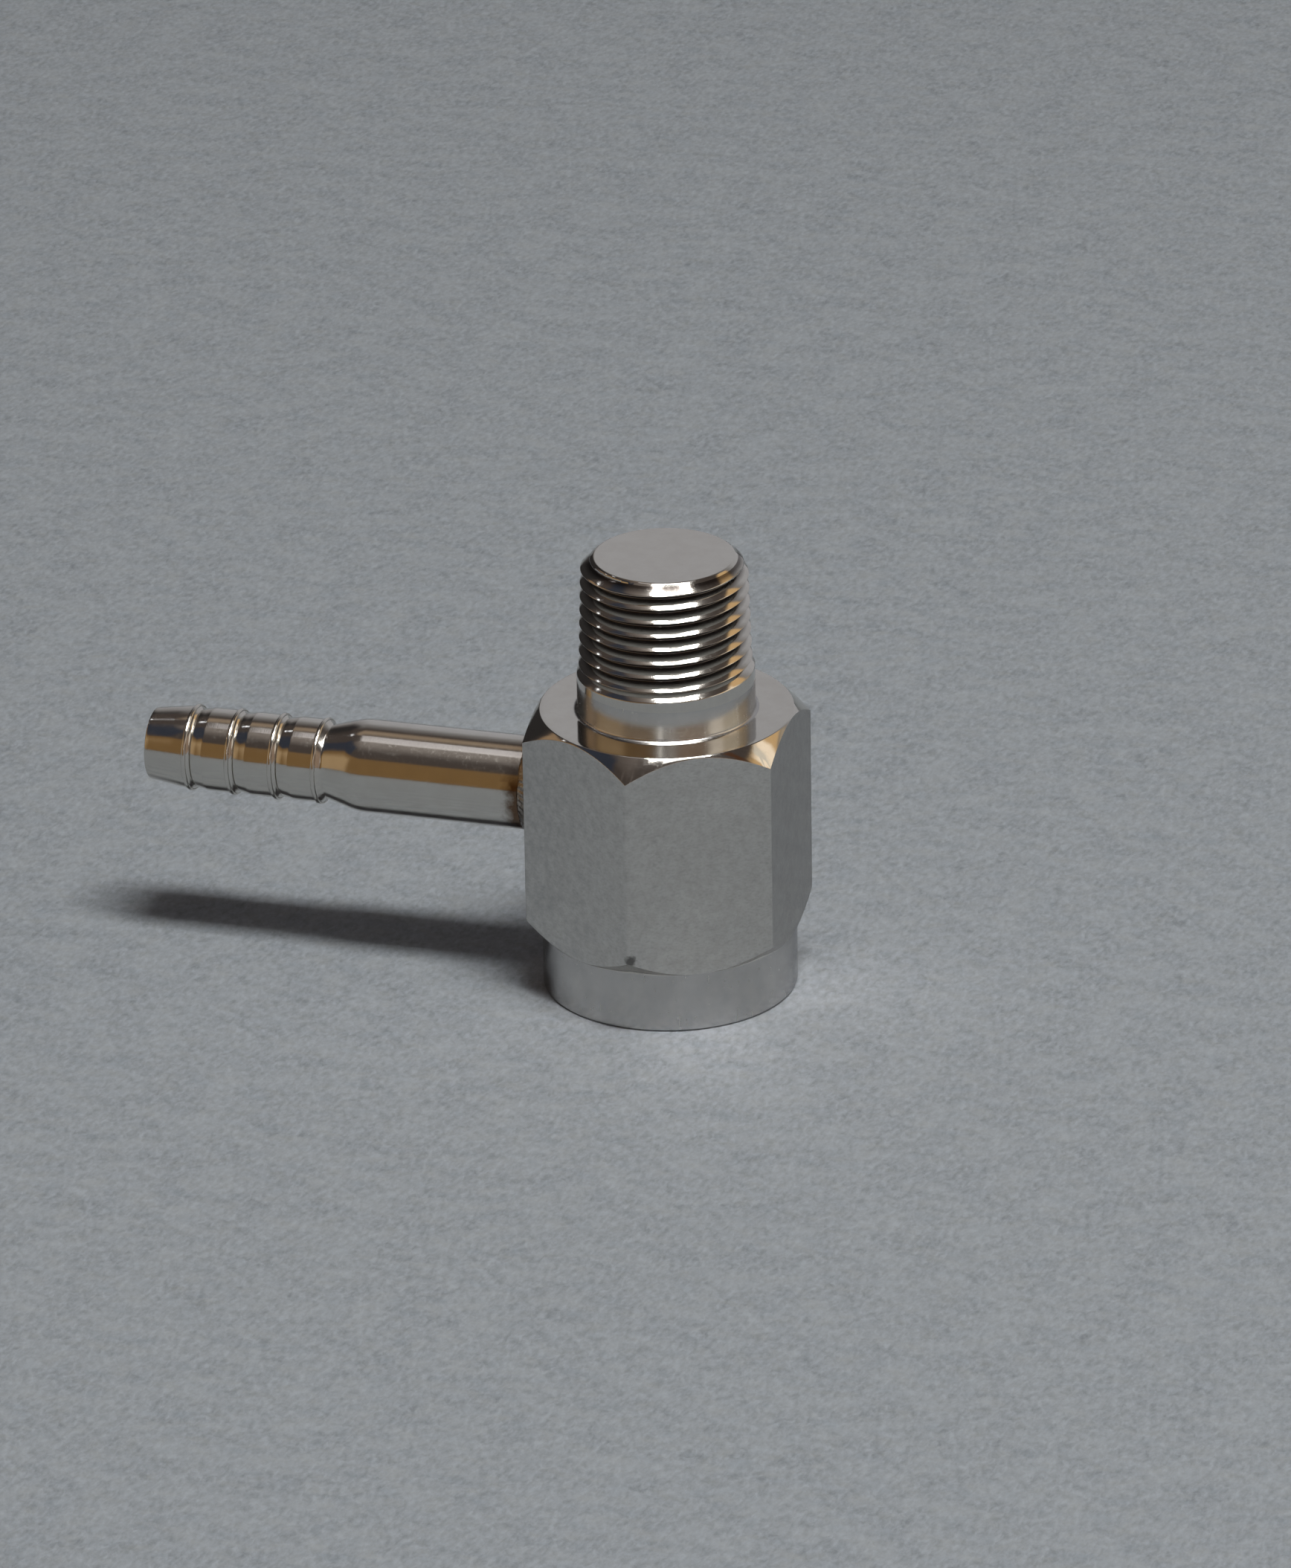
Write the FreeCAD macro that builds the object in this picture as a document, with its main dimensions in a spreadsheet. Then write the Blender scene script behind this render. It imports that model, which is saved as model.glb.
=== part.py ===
import FreeCAD, Part
import math
import os

import Sketcher
from FreeCAD import Vector

# Blind hex nipple with a welded side hose tail, in millimetres.
# +Z is the axis of the turned body, the origin is the centre of the skirt's foot,
# and the hose tail leaves the hexagon towards -X.

SIZES = [
    # hexagon and skirt
    ("hex_af", "32", "hexagon across flats"),
    ("skirt_d", "31.96", "round skirt below the hexagon"),
    ("skirt_h", "7.7", "foot to the lower chamfer of the hexagon"),
    ("hex_top", "37.2", "foot to the flat shoulder on top of the hexagon"),
    ("shoulder_d", "31.64", "round edge of the flat shoulder"),
    ("shoulder_slope", "1.036", "drop of the upper chamfer for each unit of radius"),
    # neck and closed end
    ("neck_d", "22.2", "plain neck above the shoulder"),
    ("neck_round", "0.45", "fillet at the foot of the neck"),
    ("neck_top", "42.9", "foot to the end of the plain neck"),
    ("total_h", "57.6", "foot to the closed end face"),
    ("end_d", "17.53", "closed end face"),
    ("end_slope", "0.847", "drop of the end chamfer for each unit of radius"),
    # tapered male thread
    ("pitch", "1.8143", "14 threads per inch"),
    ("small_d", "20.76", "crest cone at the end face"),
    ("taper", "0.03125", "growth of the radius for each unit of height, 1 in 16"),
    ("thread_depth", "1.3", "crest to root"),
    ("root_flat", "0.16", "flat at the bottom of the groove"),
    ("flank", "0.57735", "half width of the groove for each unit of depth, 60 degree form"),
    ("groove_z", "42.53", "foot to the groove's middle where its full depth begins, at -X"),
    # straight female port, at its tapping diameter
    ("port_d", "18.63", "bore of the port, which is the crest diameter of its thread"),
    ("mouth_d", "20.6", "countersink at the mouth of the port"),
    ("port_top", "16.5", "foot to the end of the port's bore"),
    ("passage_d", "8", "drilled passage above the port"),
    ("passage_top", "26.8", "foot to the end of the passage's full bore"),
    ("drill_slope", "0.6", "height of a drill point for each unit of radius"),
    # side socket
    ("stem_z", "24.8", "foot to the axis of the hose tail"),
    ("socket_d", "12", "socket for the hose tail"),
    ("socket_x", "11", "body axis to the bottom of the socket"),
    ("bore_d", "6", "bore of the hose tail and of the cross passage"),
    # hose tail
    ("spigot_x", "11.2", "body axis to the inner end of the hose tail"),
    ("spigot_cham", "0.3", "chamfer of the inner end"),
    ("tube_d", "11.8", "plain tube"),
    ("flare_x", "39.9", "body axis to the end of the plain tube"),
    ("flare_foot_x", "43.95", "body axis to the foot of the flare"),
    ("flare_foot_d", "9.5", "foot of the flare"),
    ("flare_round", "14", "blend of the flare into the tube"),
    ("barb_x", "44.63", "body axis to the back of the innermost barb"),
    ("barb_step", "5.69", "spacing of the barbs"),
    ("barb_back", "0.3", "length of the step behind each barb"),
    ("bead_w", "0.6", "width of the rounded edge of each barb"),
    ("bead_r", "0.39", "radius of that rounded edge"),
    ("land_d", "10.56", "land before each rounded edge"),
    ("root_d", "9.76", "root behind each barb"),
    ("ramp_len", "1.75", "cone from the root to the land"),
    ("tail_x", "67.5", "body axis to the free end"),
    ("lip_d", "9.14", "free end"),
    ("lip_round", "0.25", "rounding of the free end"),
    ("mouth_cham", "0.35", "chamfer of the bore at the free end"),
    # weld
    ("weld_leg", "2.1", "leg of the fillet weld"),
    ("weld_r", "5.1", "radius of the weld's hollow face"),
    # derived sizes
    ("corner_r", "=hex_af / sqrt(3)", "axis to a corner of the hexagon"),
    ("small_r", "=small_d / 2", "crest cone at the end face, radius"),
    ("crest_r", "=(small_r - taper * end_slope * end_d / 2) / (1 - taper * end_slope)",
     "crest cone where it meets the end chamfer"),
    ("crest_z", "=total_h - end_slope * (crest_r - end_d / 2)", "height of that edge"),
    ("step_r", "=(small_r + taper * (total_h - neck_top - neck_d / 2)) / (1 - taper)",
     "crest cone where it meets the neck's chamfer"),
    ("step_z", "=neck_top + neck_d / 2 - step_r", "height of that edge"),
    ("root_r", "=small_r + taper * (total_h - groove_z) - thread_depth",
     "root of the groove where its full depth begins"),
    ("reach_r", "=root_r + 1.39", "outer side of the groove's cutter"),
]


doc = FreeCAD.newDocument("hex_nipple")
sheet = doc.addObject("Spreadsheet::Sheet", "Sizes")
for row, (alias, cell, meaning) in enumerate(SIZES, start=1):
    sheet.set("A%d" % row, alias)
    sheet.set("C%d" % row, meaning)
    sheet.setAlias("B%d" % row, alias)
    sheet.set("B%d" % row, cell)
doc.recompute()


def size(alias):
    return float(sheet.get(alias))


def linked(expression):
    """The expression with each alias made to point at the sheet."""
    words = []
    for word in expression.split(" "):
        bare = word.strip("()-")
        words.append(word.replace(bare, "Sizes." + bare) if bare in aliases else word)
    return " ".join(words)


aliases = {alias for alias, cell, meaning in SIZES}


def number(expression):
    """The value of an expression, worked out by a scratch cell of the sheet."""
    sheet.set("E1", "=" + expression)
    sheet.recompute()
    return float(sheet.get("E1"))


def new_body(label):
    body = doc.addObject("PartDesign::Body", label)
    body.Label = label
    return body


def origin_part(body, role):
    """One of the body's own origin planes or axes."""
    return next(o for o in body.Origin.OriginFeatures if o.Role == role)


def new_sketch(body, label, role):
    sketch = body.newObject("Sketcher::SketchObject", label)
    sketch.AttachmentSupport = [(origin_part(body, role), "")]
    sketch.MapMode = "FlatFace"
    return sketch


def hold(sketch, geometry, end, axis, expression):
    """Tie one coordinate of a line's end to the sheet."""
    value = number(expression)
    if abs(value) < 1e-9:
        # a point on the sketch's own axis
        sketch.addConstraint(Sketcher.Constraint("PointOnObject", geometry, end, -2 if axis == "X" else -1))
        return
    at = sketch.addConstraint(Sketcher.Constraint("Distance" + axis, -1, 1, geometry, end, value))
    sketch.setExpression("Constraints[%d]" % at, linked(expression))


def arc_between(a, b, radius):
    """The short arc from a to b, bulging to the left of that way when the radius is positive."""
    half = (b - a) * 0.5
    left = Vector(-half.y, half.x, 0).normalize()
    inset = math.sqrt(radius * radius - half.Length ** 2)
    centre = a + half - left * (inset if radius > 0 else -inset)
    start, end = (b, a) if radius > 0 else (a, b)
    angles = [math.atan2(p.y - centre.y, p.x - centre.x) for p in (start, end)]
    return Part.ArcOfCircle(Part.Circle(centre, Vector(0, 0, 1), abs(radius)), *angles)


def add_loop(sketch, corners):
    """A closed outline. Each corner is (x, y) or (x, y, signed radius of the arc to the next corner)."""
    points = [Vector(number(c[0]), number(c[1]), 0) for c in corners]
    first = sketch.GeometryCount
    count = len(corners)
    ends = []
    for i, corner in enumerate(corners):
        a, b = points[i], points[(i + 1) % count]
        if len(corner) == 2:
            sketch.addGeometry(Part.LineSegment(a, b), False)
            ends.append((1, 2))
        else:
            radius = number(corner[2])
            sketch.addGeometry(arc_between(a, b, radius), False)
            ends.append((2, 1) if radius > 0 else (1, 2))
    for i, corner in enumerate(corners):
        nxt = (i + 1) % count
        sketch.addConstraint(Sketcher.Constraint("Coincident", first + i, ends[i][1], first + nxt, ends[nxt][0]))
        hold(sketch, first + i, ends[i][0], "X", corner[0])
        hold(sketch, first + i, ends[i][0], "Y", corner[1])
        if len(corner) == 3:
            at = sketch.addConstraint(Sketcher.Constraint("Radius", first + i, abs(number(corner[2]))))
            sketch.setExpression("Constraints[%d]" % at, linked(corner[2].lstrip("-")))


def finish(feature):
    """Recompute and stop at the first feature that did not build."""
    doc.recompute()
    bad = [o for o in doc.Objects if "Invalid" in o.State or "Error" in o.State]
    if bad or feature.Shape.isNull() or not feature.Shape.isValid():
        raise RuntimeError("did not build: %s" % [feature.Label] + [o.Label for o in bad])
    return feature


def revolve(body, kind, label, sketch, axis_role):
    feature = body.newObject("PartDesign::" + kind, label)
    feature.Profile = sketch
    feature.ReferenceAxis = (origin_part(body, axis_role), [""])
    feature.Angle = 360
    return finish(feature)


def circle_edges(feature, axis, position, radius):
    """Names of the full-circle edges at one place along an axis."""
    names = []
    for i, edge in enumerate(feature.Shape.Edges, start=1):
        curve = edge.Curve
        if not isinstance(curve, Part.Circle) or abs(curve.Radius - radius) > 0.01:
            continue
        if abs(getattr(curve.Center, axis) - position) < 0.01:
            names.append("Edge%d" % i)
    return names


# ---------------------------------------------------------------- hex body

hex_body = new_body("hex_body")

# hexagonal bar, its corners on +Y and -Y, flats facing +X and -X
bar = new_sketch(hex_body, "bar_outline", "XY_Plane")
add_loop(bar, [
    ("hex_af / 2", "corner_r / 2"),
    ("0", "corner_r"),
    ("-hex_af / 2", "corner_r / 2"),
    ("-hex_af / 2", "-corner_r / 2"),
    ("0", "-corner_r"),
    ("hex_af / 2", "-corner_r / 2"),
])
pad = hex_body.newObject("PartDesign::Pad", "bar")
pad.Profile = bar
pad.Length = size("hex_top")
pad.setExpression("Length", "Sizes.hex_top")
finish(pad)

# the lathe takes the skirt and both chamfers off the bar
turned = new_sketch(hex_body, "turned_outline", "XZ_Plane")
add_loop(turned, [
    ("skirt_d / 2", "-1"),
    ("corner_r + 2", "-1"),
    ("corner_r + 2", "skirt_h + corner_r + 2 - skirt_d / 2"),
    ("skirt_d / 2", "skirt_h"),
])
add_loop(turned, [
    ("shoulder_d / 2", "hex_top + 1"),
    ("shoulder_d / 2", "hex_top"),
    ("corner_r + 2", "hex_top - shoulder_slope * ( corner_r + 2 - shoulder_d / 2 )"),
    ("corner_r + 2", "hex_top + 1"),
])
revolve(hex_body, "Groove", "turned_skirt_and_chamfers", turned, "Z_Axis")

# neck and blank of the tapered thread
blank = new_sketch(hex_body, "blank_outline", "XZ_Plane")
add_loop(blank, [
    ("0", "hex_top - 2"),
    ("neck_d / 2", "hex_top - 2"),
    ("neck_d / 2", "neck_top"),
    ("step_r", "step_z"),
    ("crest_r", "crest_z"),
    ("end_d / 2", "total_h"),
    ("0", "total_h"),
])
neck = revolve(hex_body, "Revolution", "neck_and_blank", blank, "Z_Axis")

foot_fillet = hex_body.newObject("PartDesign::Fillet", "neck_fillet")
foot_fillet.Base = (neck, circle_edges(neck, "z", size("hex_top"), size("neck_d") / 2))
foot_fillet.Radius = size("neck_round")
foot_fillet.setExpression("Radius", "Sizes.neck_round")
finish(foot_fillet)

# female port from below, then the drilled passage
port = new_sketch(hex_body, "port_outline", "XZ_Plane")
add_loop(port, [
    ("0", "-1"),
    ("mouth_d / 2 + 1", "-1"),
    ("port_d / 2", "( mouth_d - port_d ) / 2"),
    ("port_d / 2", "port_top"),
    ("passage_d / 2", "port_top + drill_slope * ( port_d - passage_d ) / 2"),
    ("passage_d / 2", "passage_top"),
    ("0", "passage_top + drill_slope * passage_d / 2"),
])
revolve(hex_body, "Groove", "port", port, "Z_Axis")

# socket for the hose tail and the cross passage behind it
for label, offset, radius, depth in (
    ("cross_passage", "0", "bore_d / 2", "socket_x + 1"),
    ("socket", "-socket_x", "socket_d / 2", "hex_af / 2 - socket_x + 1"),
):
    mouth = new_sketch(hex_body, label + "_outline", "YZ_Plane")
    mouth.AttachmentOffset = FreeCAD.Placement(Vector(0, 0, number(offset)), FreeCAD.Rotation())
    mouth.setExpression("AttachmentOffset.Base.z", linked(offset))
    mouth.addGeometry(Part.Circle(Vector(0, size("stem_z"), 0), Vector(0, 0, 1), number(radius)), False)
    hold(mouth, 0, 3, "X", "0")
    hold(mouth, 0, 3, "Y", "stem_z")
    at = mouth.addConstraint(Sketcher.Constraint("Radius", 0, number(radius)))
    mouth.setExpression("Constraints[%d]" % at, linked(radius))
    pocket = hex_body.newObject("PartDesign::Pocket", label)
    pocket.Profile = mouth
    pocket.Length = number(depth)
    pocket.setExpression("Length", linked(depth))
    pocket.Reversed = False
    finish(pocket)


def helix(label, sketch, turns, angle, downwards):
    feature = hex_body.newObject("PartDesign::SubtractiveHelix", label)
    feature.Profile = sketch
    feature.ReferenceAxis = (origin_part(hex_body, "Z_Axis"), [""])
    feature.Mode = "pitch-turns-angle"
    feature.Pitch = size("pitch")
    feature.setExpression("Pitch", "Sizes.pitch")
    feature.Turns = turns
    feature.Angle = angle
    feature.Reversed = downwards
    return finish(feature)


# the groove of the tapered thread starts on the -X side and climbs off the end
cut = new_sketch(hex_body, "thread_groove_outline", "XZ_Plane")
add_loop(cut, [
    ("-root_r", "groove_z - root_flat / 2"),
    ("-root_r", "groove_z + root_flat / 2"),
    ("-reach_r", "groove_z + root_flat / 2 + flank * ( reach_r - root_r )"),
    ("-reach_r", "groove_z - root_flat / 2 - flank * ( reach_r - root_r )"),
])
taper_angle = math.degrees(math.atan(size("taper")))
helix("thread_groove", cut, 9, -taper_angle, False)

# the last turn opens wider where it breaks out through the neck
rim = new_sketch(hex_body, "rim_outline", "XZ_Plane")
add_loop(rim, [
    ("-root_r - 1.05", "groove_z - 0.55"),
    ("-root_r - 2.05", "groove_z - 1.55"),
    ("-root_r - 2.05", "groove_z + 0.85"),
    ("-root_r - 1.05", "groove_z + 0.5"),
])
helix("thread_rim", rim, 0.8, -taper_angle, False)

# the tool leaves the cut on the far side of the body
leave = new_sketch(hex_body, "run_out_outline", "XZ_Plane")
add_loop(leave, [
    ("-root_r", "groove_z - root_flat / 2"),
    ("-root_r", "groove_z + root_flat / 2"),
    ("-root_r - 1.05", "groove_z + 0.6862"),
    ("-root_r - 2.05", "groove_z + 0.85"),
    ("-root_r - 2.05", "groove_z - 1.55"),
    ("-root_r - 1.38", "groove_z - 0.88"),
])
helix("thread_run_out", leave, 0.28, 73, True)

# ---------------------------------------------------------------- hose tail

hose_tail = new_body("hose_barb_stem")

# the outline runs along -X, its y is the radius, and the revolved body is lifted onto its axis below
outline = [
    ("-spigot_x", "bore_d / 2"),
    ("-spigot_x", "tube_d / 2 - spigot_cham"),
    ("-spigot_x - spigot_cham", "tube_d / 2"),
    ("-flare_x", "tube_d / 2"),
    ("-flare_foot_x", "flare_foot_d / 2"),
    ("-barb_x + barb_back", "flare_foot_d / 2"),
]
for barb in range(4):
    back = "-barb_x - barb_step * %d" % barb
    outline.append((back, "land_d / 2", "-bead_r"))
    outline.append((back + " - bead_w", "land_d / 2"))
    if barb < 3:
        after = "-barb_x - barb_step * %d + barb_back" % (barb + 1)
        outline.append((after + " + ramp_len", "land_d / 2"))
        outline.append((after, "root_d / 2"))
outline += [
    ("-tail_x + lip_round", "lip_d / 2", "-lip_round"),
    ("-tail_x", "lip_d / 2 - lip_round"),
    ("-tail_x", "bore_d / 2 + mouth_cham"),
    ("-tail_x + mouth_cham", "bore_d / 2"),
]
tail = new_sketch(hose_tail, "tail_outline", "XZ_Plane")
add_loop(tail, outline)
turned_tail = revolve(hose_tail, "Revolution", "turned_tail", tail, "X_Axis")

blend = hose_tail.newObject("PartDesign::Fillet", "flare_blend")
blend.Base = (turned_tail, circle_edges(turned_tail, "x", -size("flare_x"), size("tube_d") / 2))
blend.Radius = size("flare_round")
blend.setExpression("Radius", "Sizes.flare_round")
finish(blend)
hose_tail.setExpression("Placement.Base.z", "Sizes.stem_z")

# ---------------------------------------------------------------- weld

weld = new_body("weld_bead")
fillet = new_sketch(weld, "weld_outline", "XZ_Plane")
add_loop(fillet, [
    ("-hex_af / 2", "tube_d / 2"),
    ("-hex_af / 2", "tube_d / 2 + weld_leg", "weld_r"),
    ("-hex_af / 2 - weld_leg", "tube_d / 2"),
])
revolve(weld, "Revolution", "weld_fillet", fillet, "X_Axis")
weld.setExpression("Placement.Base.z", "Sizes.stem_z")

# ---------------------------------------------------------------- hand over

doc.recompute()
for item in doc.Objects:
    if "Invalid" in item.State or "Error" in item.State:
        raise RuntimeError(item.Label + " is " + " ".join(item.State))

os.makedirs("parts", exist_ok=True)
for node in (hex_body, hose_tail, weld):
    shape = node.Shape
    if shape.isNull() or not shape.isValid() or len(shape.Solids) != 1:
        raise RuntimeError(node.Label + " is not one valid solid")
    shape.exportStep("parts/%s.step" % node.Label)
    print(node.Label, round(shape.Volume, 1), "mm3")
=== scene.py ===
import math

import bmesh
import bpy
import numpy as np
from mathutils import Matrix, Vector


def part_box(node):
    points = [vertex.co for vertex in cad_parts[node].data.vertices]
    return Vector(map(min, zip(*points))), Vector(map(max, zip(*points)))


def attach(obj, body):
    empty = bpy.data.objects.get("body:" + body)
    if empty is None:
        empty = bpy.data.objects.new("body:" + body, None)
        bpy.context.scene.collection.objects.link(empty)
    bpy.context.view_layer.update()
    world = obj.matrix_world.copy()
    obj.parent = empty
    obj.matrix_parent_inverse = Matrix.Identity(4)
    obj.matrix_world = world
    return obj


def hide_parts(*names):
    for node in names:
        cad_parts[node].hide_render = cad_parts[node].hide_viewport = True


# Hex nipple with a welded hose tail, all in polished stainless steel, on grey paper.
# The frame is the CAD's: +Z is the axis of the turned body, the hose tail leaves towards -X.
# Meshes are worked out in millimetres and scaled to metres when they are made.

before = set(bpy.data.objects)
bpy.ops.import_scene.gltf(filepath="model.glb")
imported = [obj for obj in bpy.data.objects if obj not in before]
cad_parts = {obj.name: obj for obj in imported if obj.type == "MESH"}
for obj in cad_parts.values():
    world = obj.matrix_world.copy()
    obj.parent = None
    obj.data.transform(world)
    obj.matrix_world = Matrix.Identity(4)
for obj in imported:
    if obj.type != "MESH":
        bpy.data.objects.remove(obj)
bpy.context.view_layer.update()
MM = 0.001


def node_box(node):
    """A CAD node's lowest and highest corner in millimetres."""
    low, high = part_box(node)
    return np.array(low) / MM, np.array(high) / MM


# ---------------------------------------------------------------- sizes, millimetres

body_high = node_box("hex_body")[1]
stem_low, stem_high = node_box("hose_barb_stem")
weld_low = node_box("weld_bead")[0]

FLAT_R = float(body_high[0])
TOP_Z = float(body_high[2])
STEM_Z = float(stem_low[2] + stem_high[2]) / 2
TAIL_X = float(stem_low[0])
WELD_LEG = float(-FLAT_R - weld_low[0])

SKIRT_R, SKIRT_Z = 15.98, 7.7
SHOULDER_Z, SHOULDER_R, SHOULDER_SLOPE = 37.2, 15.82, 1.036
NECK_R, NECK_ROUND, NECK_TOP = 11.1, 0.45, 42.9
END_R, END_SLOPE = 8.765, 0.847
CREST_R, TAPER = 10.38, 1 / 32
PITCH, DEPTH, ROOT_HALF, FLANK = 1.8143, 1.3, 0.08, math.sqrt(3)
GROOVE_Z = 42.46            # height of the groove where turn 0 begins, at -X
LIP, SWELL = 0.93, 0.181    # slope of the ridges' upper side at the lip, and how much it bulges
SHALLOW = 0.72              # how far below the others the first turn's lip starts
SHALLOW_FROM, SHALLOW_TO = 200, 345     # degrees from -X between which turn 0 comes to the others' depth
RUN_IN, RUN_IN_SLOPE = 259.2, math.tan(math.radians(73))   # where the cutter enters, and how steeply
RIM_H = 0.32                # height of the rounded rim between end chamfer and end face
RIM_R = END_R + RIM_H / END_SLOPE
THREAD_LOW = 41.2           # the rows follow the thread from here to the end face
LAST_TURN = 9               # the groove's turn that runs out over the end chamfer
NECK_ZONE, MIDDLE_Z, END_ZONE = 43.3, 45, 56.1      # the groove meets neck and end chamfer outside these
NO_CUT = 99.0               # a radius beyond the stock
PORT_R, MOUTH_R, PORT_TOP, PORT_THREAD_TOP = 9.315, 10.3, 16.5, 13.0
PORT_RUNOUT, PORT_DEPTH = 1.2, 0.92     # the port's thread fades out over this height; its depth
PASSAGE_R, PASSAGE_TOP = 4.0, 26.8
DRILL_SLOPE = 0.6           # slope of the cones that the drills leave
SOCKET_R, SOCKET_X, BORE_R = 6.0, -11.0, 3.0
TUBE_R, SPIGOT_X = 5.9, -11.2
STEP = PITCH / 360          # rise of a helix for each degree


# ---------------------------------------------------------------- mesh building

def soft_min(a, b, k):
    """The smaller of two surfaces, with the edge between them rounded over about k."""
    h = np.clip(k - np.abs(a - b), 0, None) / k
    return np.minimum(a, b) - h * h * k / 4


class Sheets:
    """Grids of points joined into one mesh. A grid is columns round an axis by rows along it."""

    def __init__(self):
        self.points, self.faces, self.kinds, self.count = [], [], [], 0

    def add(self, grid, kinds, shift=0, flip=False):
        """kinds is one material number, or one for each band of rows. shift joins the last
        column to the first that many rows on, as a helix needs."""
        columns, rows = grid.shape[:2]
        column = np.arange(columns)[:, None]
        row = np.arange(rows - 1)[None, :]
        step = np.where(column == columns - 1, shift, 0)
        after = (column + 1) % columns
        a = column * rows + row
        b = after * rows + np.clip(row + step, 0, rows - 1)
        c = after * rows + np.clip(row + 1 + step, 0, rows - 1)
        d = column * rows + row + 1
        quads = np.stack(np.broadcast_arrays(a, b, c, d), -1).reshape(-1, 4)
        if flip:
            quads = quads[:, ::-1]
        band = np.broadcast_to(np.asarray(kinds), (rows - 1,))
        self.points.append(grid.reshape(-1, 3))
        self.faces.append(quads + self.count)
        self.kinds.append(np.broadcast_to(band, (columns, rows - 1)).reshape(-1))
        self.count += columns * rows

    def build(self, name, materials):
        points = np.concatenate(self.points)
        faces, kinds = np.concatenate(self.faces), np.concatenate(self.kinds)
        key = np.round(points * 1e4).astype(np.int64)
        _, first, same = np.unique(key, axis=0, return_index=True, return_inverse=True)
        points, faces = points[first], same.reshape(-1)[faces]
        loops, sizes, used = [], [], []
        equal = faces == np.roll(faces, -1, axis=1)
        lost = equal.sum(1)
        crossed = (faces[:, 0] == faces[:, 2]) | (faces[:, 1] == faces[:, 3])
        whole = (lost == 0) & ~crossed
        loops.append(faces[whole].reshape(-1))
        sizes.append(np.full(whole.sum(), 4))
        used.append(kinds[whole])
        thin = (lost == 1) & ~crossed
        loops.append(faces[thin][~equal[thin]])
        sizes.append(np.full(thin.sum(), 3))
        used.append(kinds[thin])
        loops, sizes, used = map(np.concatenate, (loops, sizes, used))
        mesh = bpy.data.meshes.new(name)
        mesh.vertices.add(len(points))
        mesh.vertices.foreach_set("co", (points * MM).astype(np.float32).reshape(-1))
        mesh.loops.add(len(loops))
        mesh.loops.foreach_set("vertex_index", loops.astype(np.int32))
        mesh.polygons.add(len(sizes))
        mesh.polygons.foreach_set("loop_start", np.concatenate([[0], np.cumsum(sizes)[:-1]]).astype(np.int32))
        mesh.polygons.foreach_set("loop_total", sizes.astype(np.int32))
        mesh.polygons.foreach_set("material_index", used.astype(np.int32))
        mesh.polygons.foreach_set("use_smooth", np.ones(len(sizes), dtype=bool))
        mesh.update(calc_edges=True)
        mesh.validate()
        for material in materials:
            mesh.materials.append(material)
        piece = bpy.data.objects.new(name, mesh)
        bpy.context.scene.collection.objects.link(piece)
        return piece


def keep_flats_flat(piece):
    weighted = piece.modifiers.new("face_weighted_normals", "WEIGHTED_NORMAL")
    weighted.mode = "FACE_AREA"
    weighted.weight = 90
    weighted.keep_sharp = True


def outline(corners):
    """Rows of an outline whose corners are (r, z, cut, steps). Each r and z may be a number or
    one value for each column. A corner with a cut is rounded from that far before it."""
    width = max(np.size(v) for corner in corners for v in corner[:2])
    spots = [np.stack([np.broadcast_to(np.asarray(r, float), (width,)),
                       np.broadcast_to(np.asarray(z, float), (width,))], -1) for r, z, *_ in corners]
    rows = []
    for i, corner in enumerate(corners):
        here = spots[i]
        cut = corner[2] if len(corner) > 2 else 0
        if not cut:
            rows.append(here)
            continue
        steps = corner[3] if len(corner) > 3 else 3
        back, on = spots[i - 1] - here, spots[i + 1] - here
        back_len = np.linalg.norm(back, axis=1, keepdims=True)
        on_len = np.linalg.norm(on, axis=1, keepdims=True)
        reach = np.minimum(cut, 0.45 * np.minimum(back_len, on_len))
        start, end = here + back / back_len * reach, here + on / on_len * reach
        for t in np.linspace(0, 1, steps + 1):
            rows.append((1 - t) ** 2 * start + 2 * t * (1 - t) * here + t * t * end)
    return np.stack(rows, 1)


# ---------------------------------------------------------------- hex body

CORNER_ROUND = 0.1
near_corner = [0.06, 0.12, 0.17, 0.3, 0.5]
angles = set(np.arange(0, 360, 1.0))
for corner in range(30, 360, 60):
    for off in near_corner:
        angles.update((corner - off, corner + off))
angles = np.array(sorted(angles))
theta = np.radians(angles)


def hexagon(degrees):
    """Radius of the hexagon, its corners rounded."""
    off = np.radians(np.abs((degrees % 60) - 30))
    flat = FLAT_R / np.cos(math.pi / 6 - off)
    centre = (FLAT_R - CORNER_ROUND) / math.cos(math.pi / 6)
    under = np.clip(CORNER_ROUND ** 2 - (centre * np.sin(off)) ** 2, 0, None)
    end = math.atan2(CORNER_ROUND / 2, centre + CORNER_ROUND * math.cos(math.pi / 6))
    return np.where(off < end, centre * np.cos(off) + np.sqrt(under), flat)


def round_z(flat_grid):
    """Turns (columns, rows, r and z) into points round the Z axis."""
    if len(flat_grid) == 1:
        flat_grid = np.repeat(flat_grid, len(theta), 0)
    r, z = flat_grid[..., 0], flat_grid[..., 1]
    return np.stack([r * np.cos(theta)[:, None], r * np.sin(theta)[:, None], z], -1)


def blank(z):
    """Radius of the turned blank the thread is cut into."""
    neck = np.minimum(NECK_R, NECK_R - (z - NECK_TOP))
    cone = CREST_R + (TOP_Z - z) * TAPER
    end = END_R + (TOP_Z - z) / END_SLOPE
    top = soft_min(cone, end, 0.30)
    return np.where(z < MIDDLE_Z, np.maximum(neck, np.minimum(cone, NECK_R)), top)


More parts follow.
